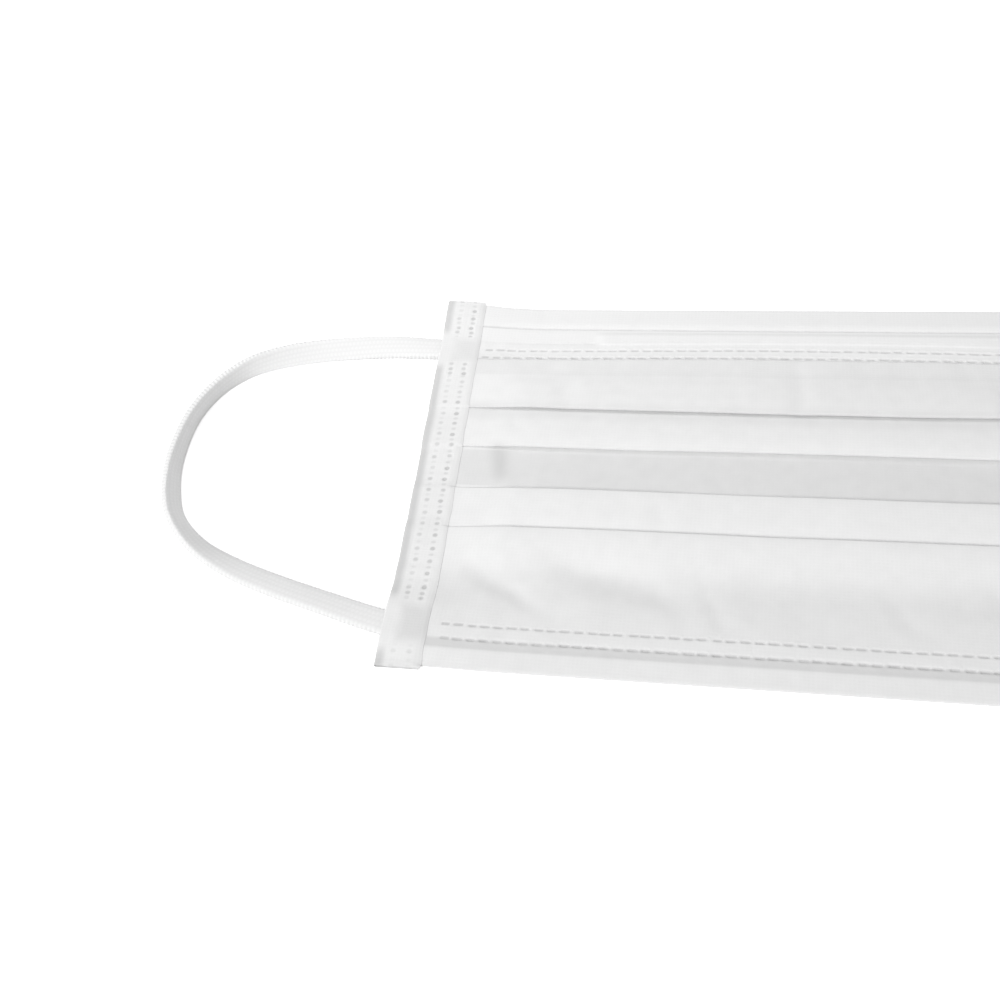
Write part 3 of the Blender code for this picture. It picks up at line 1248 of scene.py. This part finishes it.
@dataclass
class NoseWire:
    """The flat coated wire inside the nose hem: a band with a round bead along each edge."""

    drape: Drape
    width: float = 3.1 * MM
    bead: float = 0.3 * MM
    middle_height: float = 0.72 * MM

    def build(self, finish: bpy.types.Material) -> bpy.types.Object:
        """Make the wire's mesh and dress it.

        Args:
            finish: The coat's material.

        Returns:
            The wire.
        """
        size = self.drape.size
        angle = np.linspace(0, 2 * np.pi, 33)[:-1]
        half = self.width / 2 - self.bead
        across = np.sign(np.cos(angle)) * half + self.bead * np.cos(angle)
        waist = 0.72 + 0.28 * (np.abs(np.cos(angle)) > 0.2)
        up = self.bead * np.sin(angle) * waist
        x = spread(-size.wire_half_length, size.wire_half_length, 1.5 * MM)
        y = size.wire_middle + across[:, None] + 0 * x[None, :]
        z = self.middle_height + up[:, None] + 0 * x[None, :]
        middle = self.drape.settle(x[None, :] + 0 * y, y, z)
        ring, stations = middle.shape[:2]
        points = np.transpose(middle, (1, 0, 2)).reshape(-1, 3)
        wire = add_mesh("nose_wire_band", points, tube_faces(stations, ring, True))
        dress(wire, finish, "nose_wire")
        return wire


class Ground:
    """The finished cloth that lies under the strips, for finding its height."""

    def __init__(self, pieces: list[bpy.types.Object]) -> None:
        """Gather the pieces' faces into one search tree.

        Args:
            pieces: The finished pieces of cloth.
        """
        points: list[Vector] = []
        faces: list[list[int]] = []
        for piece in pieces:
            start = len(points)
            points += [vertex.co.copy() for vertex in piece.data.vertices]
            faces += [[start + index for index in face.vertices] for face in piece.data.polygons]
        self.tree = BVHTree.FromPolygons(points, faces)

    def heights(self, places: np.ndarray) -> np.ndarray:
        """Find how high the cloth is under each place.

        Args:
            places: Points, with x, y and z in the last axis.

        Returns:
            The heights, not a number where there is no cloth.
        """
        down = Vector((0.0, 0.0, -1.0))
        found = [
            self.tree.ray_cast(Vector((x, y, 20 * MM)), down)[0]
            for x, y in places[..., :2].reshape(-1, 2)
        ]
        heights = [math.nan if hit is None else hit.z for hit in found]
        return np.array(heights).reshape(places.shape[:-1])


@dataclass
class SideStrip:
    """The binding tape folded round one end, with two rows of weld dots and two spot welds."""

    drape: Drape
    panel: PleatedPanel
    side: Side
    ground: Ground
    tape: float = 0.18 * MM
    clearance: float = 0.03 * MM
    dot_pitch: float = 3.0 * MM
    dot_size: float = 0.58 * MM
    rows_in: tuple[float, float] = (2.55 * MM, 5.75 * MM)
    row_depths: tuple[float, float] = (0.15 * MM, 0.08 * MM)
    # How much darker each millimetre of a dot's depth makes the tape: fused tape and painted shade
    # in the pit.
    dot_darkening: float = 8.5 / MM
    spot_nose: tuple[float, float] = (29.9 * MM, 37.2 * MM)
    spot_chin: tuple[float, float] = (-43.2 * MM, -34.2 * MM)
    spot_depth: float = 0.12 * MM
    spot_centre: float = 2.3 * MM
    spot_reach: float = 4.0 * MM
    hem_height: float = 1.05 * MM
    nose_hem_extra: float = 0.1 * MM
    over_stack: float = 0.24 * MM
    off_table: float = 0.03 * MM
    edge_thinning: float = 0.72
    row_spacing: float = 0.27 * MM
    column_spacing: float = 0.2 * MM
    back_spacing: float = 1.1 * MM

    def dots(self, across: np.ndarray, y: np.ndarray) -> np.ndarray:
        """How deep the two rows of weld dots press the tape.

        Args:
            across: Distance from the tape's inner edge, outwards.
            y: Places along the strip.

        Returns:
            Heights, below 0 in the dots and a little above 0 on their rims.
        """
        total = np.zeros(np.broadcast(across, y).shape)
        clear = 1 - window(y, *self.spot_nose, 0.3 * MM) - window(y, *self.spot_chin, 0.3 * MM)
        clear = clear * (1 - 0.6 * (y < self.spot_chin[0]))
        near = window(y, self.spot_nose[0] - 4 * MM, self.spot_nose[1] + 6 * MM, 0.5 * MM)
        near = near + window(y, self.spot_chin[1], self.spot_chin[1] + 4 * MM, 0.5 * MM)
        for place, depth, seed in zip(self.rows_in, self.row_depths, (31, 32)):
            jitter = scatter(200, seed + 5 * self.side.value)
            for pitch, weight in ((self.dot_pitch, 1 - near), (self.dot_pitch * 0.46, near)):
                number = np.floor(y / pitch + 0.5).astype(int)
                pick = np.mod(number + 100, 200)
                middle = (number + 0.08 * jitter[pick]) * pitch
                aside = place + 0.14 * MM * jitter[(pick * 3 + 5) % 200]
                away = np.hypot((across - aside) * 0.8, y - middle)
                strength = 0.8 + 0.4 * jitter[(pick * 7 + 1) % 200]
                sunk = 1 - ease(away, self.dot_size * 0.45, self.dot_size)
                rim = bump(away - self.dot_size * 1.45, 0.3 * MM)
                total = total + weight * clear * depth * (0.1 * rim - strength * sunk)
            half_way = np.abs(np.mod(y / self.dot_pitch, 1.0) - 0.5) * self.dot_pitch
            faint = 1 - ease(np.hypot((across - place) * 0.7, half_way), 0.2 * MM, 0.5 * MM)
            total = total - 0.35 * depth * faint * clear * (1 - near)
        return total

    def spots(self, across: np.ndarray, y: np.ndarray) -> np.ndarray:
        """The smooth dished patches where the ear loop is welded on.

        Args:
            across: Distance from the tape's inner edge, outwards.
            y: Places along the strip.

        Returns:
            Heights, 0 or below.
        """
        total = 0.0
        for low, high in (self.spot_nose, self.spot_chin):
            middle = (low + high) / 2
            half = (high - low) / 2
            aside = np.abs(across - self.spot_centre) / self.spot_reach
            edge = np.maximum(aside, np.abs(y - middle) / half)
            total = total - self.spot_depth * (1 - ease(edge, 0.5, 1.15))
        return total

    def ply_and_shade_share(self, x: np.ndarray, y: np.ndarray) -> np.ndarray:
        """How dense the tape looks, with painted shade: thin beyond the body's end, where painted
        shade also darkens its rounded outer fold, but not over the ear loop.

        Args:
            x: Distance from the mask's middle.
            y: Places along the strip.

        Returns:
            The density, about 1 over the stack and less on the margin and in the welds, with
            painted shade on the margin's rounded fold, in the weld dots and on the chin side's spot
            weld.
        """
        size = self.drape.size
        # The margin beyond the body's end is thinner tape, and painted shade darkens its rounded
        # outer fold too.
        margin = ease(x, size.half_width - 2.7 * MM, size.half_width - 1.1 * MM)
        over_loop = window(y, *self.spot_nose, 3.0 * MM) + window(y, *self.spot_chin, 3.0 * MM)
        # The dots darken with their depth: fused tape with painted shade in the pits, and a faint
        # painted highlight on their raised rims.
        pressed = self.dots(x - size.strip_inner, y)
        fused = self.spots(x - size.strip_inner, y) / self.spot_depth
        # The spot welds are darker as fused tape; the chin side's is darker still, painted shade.
        fused = fused * (0.2 + 0.22 * (y < 0))
        return 0.95 - 0.75 * margin * (1 - over_loop) + self.dot_darkening * pressed + fused

    def top_height(self, y: np.ndarray) -> np.ndarray:
        """The height of the tape's upper side over the pressed stack, whose steps it bridges.

        Args:
            y: Places along the strip.

        Returns:
            Heights above the table.
        """
        fine = np.arange(-52 * MM, 52 * MM, 0.25 * MM)
        size = self.drape.size
        inside = window(fine, size.chin_seam, size.nose_seam, 1.0 * MM)
        hem = self.hem_height + self.nose_hem_extra * (fine > 0)
        stack = self.panel.stack_top(fine) * inside + hem * (1 - inside)
        soft = smooth(stack, 8, mode="edge")
        return np.interp(y, fine, soft) * self.drape.pressed + self.drape.tape_bed + self.over_stack

    def build(self, finish: bpy.types.Material) -> bpy.types.Object:
        """Make the strip's mesh and dress it.

        Args:
            finish: The tape's material.

        Returns:
            The strip.
        """
        size = self.drape.size
        y = spread(-size.strip_half_length, size.strip_half_length, self.row_spacing)[:, None]
        top = self.top_height(y)
        low = self.tape / 2 + self.off_table
        radius = (top - low) / 2
        turn = size.half_width - self.tape / 2 - radius.max()
        width = turn - size.strip_inner
        across = spread(0.0, width, self.column_spacing)[None, :]
        ragged = 0.12 * MM * soft_noise(y, y * 0, 41 + self.side.value, (3 * MM, 1.0))
        flat_x = size.strip_inner + across + ragged * (1 - across / width)
        flat_z = top + self.dots(across, y) + self.spots(across, y)
        flat_z = flat_z + 0.05 * MM * soft_noise(across + 0 * y, y, 43, (2.6 * MM, 3.4 * MM))
        angle = np.linspace(np.pi / 2, -np.pi / 2, 13)[None, 1:]
        round_x = turn + radius * np.cos(angle)
        round_z = low + (flat_z[:, -1:] - low) / 2 * (1 + np.sin(angle))
        back = spread(turn, size.strip_inner + 0.4 * MM, self.back_spacing)[None, 1:]
        all_x = np.concatenate([flat_x, round_x, back + 0 * y], axis=1)
        all_z = np.concatenate([flat_z, round_z, np.full((len(y), back.shape[1]), low)], axis=1)
        unpressed = (all_z - self.drape.tape_bed) / self.drape.pressed
        middle = self.drape.settle(self.side.value * all_x, y + 0 * all_x, unpressed)
        count = across.shape[1]
        thickness = np.full((1, all_x.shape[1]), self.tape)
        thickness[:, :count] -= self.edge_thinning * self.tape * (1 - ease(across, 0.0, 0.7 * MM))
        cloth = self.ground.heights(middle[:, :count]) + thickness[:, :count] / 2 + self.clearance
        cloth = np.where(np.isnan(cloth), middle[:, :count, 2], cloth)
        hugging = 1 - ease(across, 0.2 * MM, 1.8 * MM)
        laid = middle[:, :count, 2] + (cloth - middle[:, :count, 2]) * hugging
        middle[:, :count, 2] = np.maximum(laid, cloth)
        if self.side is Side.RIGHT:
            middle = middle[::-1]
        strip = add_sheet(f"binding_{self.side.word}", middle, thickness)
        ply_and_shade = self.ply_and_shade_share(all_x, y + 0 * all_x)
        if self.side is Side.RIGHT:
            ply_and_shade = ply_and_shade[::-1]
        add_ply_and_shade(strip, ply_and_shade)
        dress(strip, finish, f"side_strip_{self.side.word}")
        return strip


@dataclass
class EarLoop:
    """A flat knitted elastic, flat where it is welded on and on its edge round the far bend."""

    side: Side
    width: float = 5.5 * MM
    thickness: float = 2.0 * MM
    rest: float = 0.05 * MM
    stitch_pitch: float = 0.95 * MM
    stitch_depth: float = 0.035 * MM
    rib_depth: float = 0.13 * MM
    wales: int = 5
    samples_along: int = 1300
    samples_round: int = 60
    weld_end: float = -81.0 * MM
    weld_start: float = -88.5 * MM
    welded_thickness: float = 0.5
    edge_power: float = 0.75
    face_power: float = 0.42
    route: tuple[tuple[float, float, float], ...] = (
        (-79.2, 34.1, 0),
        (-88.2, 34.1, 5),
        (-98.8, 34.1, 22),
        (-108.8, 33.1, 38),
        (-118.3, 31.6, 50),
        (-126.9, 29.1, 68),
        (-133.4, 25.6, 86),
        (-138.9, 19.6, 96),
        (-142.4, 11.0, 94),
        (-143.1, 0.0, 84),
        (-141.4, -9.5, 72),
        (-137.9, -17.1, 62),
        (-130.9, -23.8, 42),
        (-121.9, -28.4, 22),
        (-111.8, -31.9, 14),
        (-100.3, -35.2, 12),
        (-88.2, -38.4, 4),
        (-79.2, -39.7, 0),
    )

    def along(self, count: int) -> np.ndarray:
        """Places evenly spread along the left loop's smooth route.

        Args:
            count: How many places.

        Returns:
            Rows of x and y in metres, and of the bank in radians.
        """
        nodes = np.array(self.route) * (MM, MM, math.pi / 180)
        last = len(nodes) - 1
        place = np.linspace(0, last, 12 * count)
        step = np.minimum(place.astype(int), last - 1)
        share = (place - step)[:, None]
        p0, p1, p2, p3 = (nodes[np.clip(step + offset, 0, last)] for offset in (-1, 0, 1, 2))
        bend = (2 * p0 - 5 * p1 + 4 * p2 - p3) * share**2
        twist = (3 * p1 - p0 - 3 * p2 + p3) * share**3
        curve = 0.5 * (2 * p1 + (p2 - p0) * share + bend + twist)
        steps = np.hypot(*np.diff(curve[:, :2], axis=0).T)
        travelled = np.concatenate([[0.0], np.cumsum(steps)])
        even = np.linspace(0, travelled[-1], count)
        return np.stack([np.interp(even, travelled, curve[:, axis]) for axis in range(3)], axis=1)

    def middle_line(self, count: int) -> np.ndarray:
        """Points down the middle of this loop, resting on its lower edge.

        Args:
            count: How many points.

        Returns:
            Rows of x, y and z.
        """
        places = self.along(count)
        flat = self.flatness(places[:, 0])
        half = self.thickness / 2 * flat
        lean = (self.width - self.thickness) / 2 * np.sin(places[:, 2])
        height = self.rest + half + lean
        return np.stack([-self.side.value * places[:, 0], places[:, 1], height], axis=1)

    def flatness(self, x: np.ndarray) -> np.ndarray:
        """The share of its full thickness that the elastic keeps where it is welded flat."""
        return 1 - (1 - self.welded_thickness) * ease(x, self.weld_start, self.weld_end)

    def length(self) -> float:
        """The loop's length from weld to weld."""
        line = self.middle_line(400)
        return float(np.linalg.norm(np.diff(line, axis=0), axis=1).sum())

    def stitches(self, across: np.ndarray, face: np.ndarray, along: np.ndarray) -> np.ndarray:
        """The knit's relief, from 0 to 1: columns of V stitches, and cord-like edges.

        Args:
            across: Place across the width, from -1 to 1.
            face: 1 on the wide faces, 0 on the round edges.
            along: Distance along the loop.

        Returns:
            The relief at each place.
        """
        column = (across + 1) / 2 * self.wales
        inside = column - np.floor(column)
        slant = 0.55 * np.abs(inside - 0.5)
        turn = along / self.stitch_pitch + slant + 0.5 * np.mod(np.floor(column), 2)
        crown = np.sin(np.pi * inside) ** 0.7
        pulse = 0.5 + 0.5 * np.cos(2 * np.pi * turn)
        knit = crown * (0.35 + 0.65 * pulse)
        edge = 0.5 + 0.5 * np.cos(2 * np.pi * along / self.stitch_pitch)
        return face * knit + (1 - face) * edge

    def build(self, finish: bpy.types.Material) -> bpy.types.Object:
        """Make the loop's mesh and dress it.

        Args:
            finish: The elastic's material.

        Returns:
            The loop.
        """
        places = self.along(self.samples_along)
        line = self.middle_line(self.samples_along)
        ahead = np.gradient(line, axis=0)
        ahead[:, 2] = 0
        ahead /= np.linalg.norm(ahead, axis=1, keepdims=True)
        outward = np.stack([ahead[:, 1], -ahead[:, 0], 0 * ahead[:, 0]], axis=1)
        outward = outward * -self.side.value
        up = np.array([0.0, 0.0, 1.0])
        bank = places[:, 2:]
        wide = outward * np.cos(bank) + up * np.sin(bank)
        thick = -outward * np.sin(bank) + up * np.cos(bank)
        angle = np.linspace(0, 2 * np.pi, self.samples_round, endpoint=False)[None, :]
        half_width = self.width / 2
        half_thick = self.thickness / 2 * self.flatness(places[:, 0])[:, None]
        across = np.sign(np.cos(angle)) * np.abs(np.cos(angle)) ** self.edge_power
        rise = np.sign(np.sin(angle)) * np.abs(np.sin(angle)) ** self.face_power
        along = np.linspace(0, self.length(), self.samples_along)[:, None]
        face = ease(np.abs(rise), 0.55, 0.85)
        relief = self.stitches(across + 0 * along, face + 0 * along, along + 0 * across)
        fullness = 0.3 + 0.7 * half_thick / self.thickness * 2
        sink = (relief - 1) * fullness
        u = (half_width + self.rib_depth * sink * (1 - face)) * across
        v = (half_thick + self.stitch_depth * sink * face) * rise
        points = line[:, None, :] + wide[:, None, :] * u[..., None]
        points = points + thick[:, None, :] * v[..., None]
        points[..., 2] = np.maximum(points[..., 2], TABLE_CLEARANCE)
        quads = tube_faces(*points.shape[:2], False)
        if self.side is Side.RIGHT:
            quads = quads[:, ::-1]
        loop = add_mesh(f"elastic_{self.side.word}", points.reshape(-1, 3), quads)
        # The relief is also read as colour: painted shade in the stitches' hollows.
        add_mask(loop, "crown", relief.ravel())
        dress(loop, finish, f"ear_loop_{self.side.word}")
        self.length()
        log.info("%s: %.0f mm long", loop.name, self.length() / MM)
        return loop


# ---------------------------------------------------------------- the studio


@dataclass(frozen=True)
class Studio:
    """A pale table, a large softbox with two small fill lamps, and the camera."""

    camera_place: tuple[float, float, float] = (-27.96 * MM, -130.5 * MM, 182.5 * MM)
    heading: float = 17.9
    dip: float = 54.69
    roll: float = -12.6
    lens: float = 37.79
    sensor: float = 36.0
    table_size: float = 6.0

    def add_camera(self) -> None:
        """Set up the camera: it looks down at the mask from beyond the chin edge."""
        data = bpy.data.cameras.new("camera")
        data.lens = self.lens
        data.sensor_width = self.sensor
        data.clip_start = 0.005
        camera = bpy.data.objects.new("camera", data)
        turn = Matrix.Rotation(math.radians(self.heading), 4, "Z")
        tilt = Matrix.Rotation(math.radians(90 - self.dip), 4, "X")
        lean = Matrix.Rotation(math.radians(self.roll), 4, "Z")
        camera.matrix_world = Matrix.Translation(self.camera_place) @ turn @ tilt @ lean
        bpy.context.scene.collection.objects.link(camera)
        bpy.context.scene.camera = camera

    def add_table(self) -> None:
        """Lay down the plain pale table, which the camera sees as clean white."""
        half = self.table_size / 2
        corners = np.array([(-half, -half, 0), (half, -half, 0), (half, half, 0), (-half, half, 0)])
        table = add_mesh("table", corners, np.array([[0, 1, 2, 3]]))
        material, nodes, shader = start_material("pale_table")
        shader.inputs["Base Color"].default_value = (0.9, 0.9, 0.9, 1.0)
        shader.inputs["Roughness"].default_value = 0.9
        shader.inputs["Specular IOR Level"].default_value = 0.1
        shader.inputs["Emission Color"].default_value = (1.0, 1.0, 1.0, 1.0)
        seen = nodes.add("ShaderNodeLightPath").outputs["Is Camera Ray"]
        nodes.feed(shader.inputs["Emission Strength"], nodes.math("MULTIPLY", seen, 0.6))
        table.data.materials.append(material)

    def add_light(
        self, name: str, place: tuple[float, float, float], size: float, power: float
    ) -> None:
        """Add a square soft light that points at the mask's middle.

        Args:
            name: The light's name.
            place: Where it stands, in metres.
            size: Its side, in metres.
            power: Its power, in watts.
        """
        data = bpy.data.lights.new(name, "AREA")
        data.size = size
        data.energy = power
        light = bpy.data.objects.new(name, data)
        light.location = place
        away = light.location.normalized()
        light.rotation_euler = away.to_track_quat("Z", "Y").to_euler()
        bpy.context.scene.collection.objects.link(light)

    def add_world(self, strength: float) -> None:
        """Fill in with an even white surround.

        Args:
            strength: How bright it is.
        """
        world = bpy.data.worlds.new("surround")
        world.use_nodes = True
        background = world.node_tree.nodes["Background"]
        background.inputs["Color"].default_value = (1.0, 1.0, 1.0, 1.0)
        background.inputs["Strength"].default_value = strength
        bpy.context.scene.world = world

    def build(self) -> None:
        """Set up the table, the lights and the camera."""
        self.add_table()
        self.add_light("softbox", (-0.90, -1.10, 1.15), 0.70, 23.0)
        self.add_light("top_lamp", (-0.15, 0.16, 0.22), 0.12, 0.26)
        self.add_light("side_fill", (0.95, -0.25, 0.32), 0.50, 1.75)
        self.add_world(0.362)
        self.add_camera()
        bpy.context.scene.view_settings.view_transform = "Standard"


# ---------------------------------------------------------------- assembly


def make_hems(drape: Drape) -> tuple[Hem, Hem]:
    """The nose hem with its wire channel, and the plain chin hem.

    Args:
        drape: How the mask lies.

    Returns:
        The nose hem and the chin hem.
    """
    size = drape.size
    nose = Hem(
        drape,
        "hem_nose",
        "nose_hem",
        seam=size.nose_seam,
        edge=size.half_height,
        surface=(
            (30.9, 0.95),
            (33.2, 1.02),
            (35.3, 0.98),
            (36.1, 0.86),
            (36.5, 0.92),
            (39.8, 0.98),
            (40.7, 0.9),
            (41.0, 0.74),
            (41.3, 0.98),
            (42.4, 1.14),
            (43.4, 1.1),
            (46.0, 0.94),
            (47.6, 0.84),
        ),
        welds=(
            WeldRow(33.85 * MM, -75.55 * MM, 0.18 * MM, 51),
            WeldRow(31.6 * MM, -76.15 * MM, 0.25 * MM, 52),
        ),
        weld_reach=76.9 * MM,
        # Density along y. The dip at 36.25 mm is painted shade along the wire's lower edge, the dip
        # from 40.8 to 41.15 mm is painted shade in the groove below the folded margin, and the drop
        # at the top edge is painted shade on its rounding.
        plies_and_shade=(
            (30.9, 0.75),
            (33.5, 0.95),
            (35.9, 0.95),
            (36.25, 0.8),
            (36.6, 1.0),
            (40.6, 1.0),
            (40.8, 0.4),
            (41.15, 0.4),
            (41.35, 1.0),
            (47.4, 1.0),
            (47.8, 0.6),
            (48.0, 0.6),
        ),
        fine_lines=(36.25 * MM, 41.05 * MM),
        wire_half_length=size.wire_half_length,
        wire_middle=size.wire_middle,
        wire_rise=0.3 * MM,
    )
    chin = Hem(
        drape,
        "hem_chin",
        "chin_hem",
        seam=size.chin_seam,
        edge=-size.half_height,
        surface=(
            (-37.6, 0.95),
            (-39.9, 1.02),
            (-41.9, 0.9),
            (-43.0, 0.7),
            (-43.4, 0.72),
            (-45.0, 0.62),
            (-47.5, 0.5),
        ),
        welds=(
            WeldRow(-38.3 * MM, -74.3 * MM, 0.18 * MM, 53),
            WeldRow(-41.35 * MM, -74.3 * MM, 0.24 * MM, 54),
        ),
        weld_reach=75.7 * MM,
        # Density along y. The drop at the bottom edge is painted shade on its rounding, and the
        # dark band from -42.9 to -41.7 mm, just below the lower weld row, is thinner cloth with
        # painted shade where it steps down.
        plies_and_shade=(
            (-48.0, 0.5),
            (-47.75, 0.5),
            (-47.3, 0.85),
            (-43.6, 0.8),
            (-42.9, 0.2),
            (-41.7, 0.25),
            (-41.0, 0.8),
            (-39.0, 0.8),
            (-37.6, 0.76),
        ),
        fine_lines=(-42.9 * MM,),
    )
    return nose, chin


def main() -> None:
    """Build every piece of the mask in order, then the studio."""
    logging.basicConfig(level=logging.INFO, format="%(name)s: %(message)s")
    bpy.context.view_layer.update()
    Studio().build()
    finishes = Finishes()
    drape = Drape(BodySize.from_frame())
    loops = [EarLoop(side).build(finishes.elastic) for side in Side]
    panel = PleatedPanel(drape)
    body = panel.build(finishes.cloth)
    hems = [hem.build(finishes.cloth) for hem in make_hems(drape)]
    wire = NoseWire(drape).build(finishes.wire)
    ground = Ground([body, *hems])
    strips = [SideStrip(drape, panel, side, ground).build(finishes.tape) for side in Side]
    log.info("%d pieces", len(loops + hems + strips) + 2)


if __name__ == "__main__":
    main()
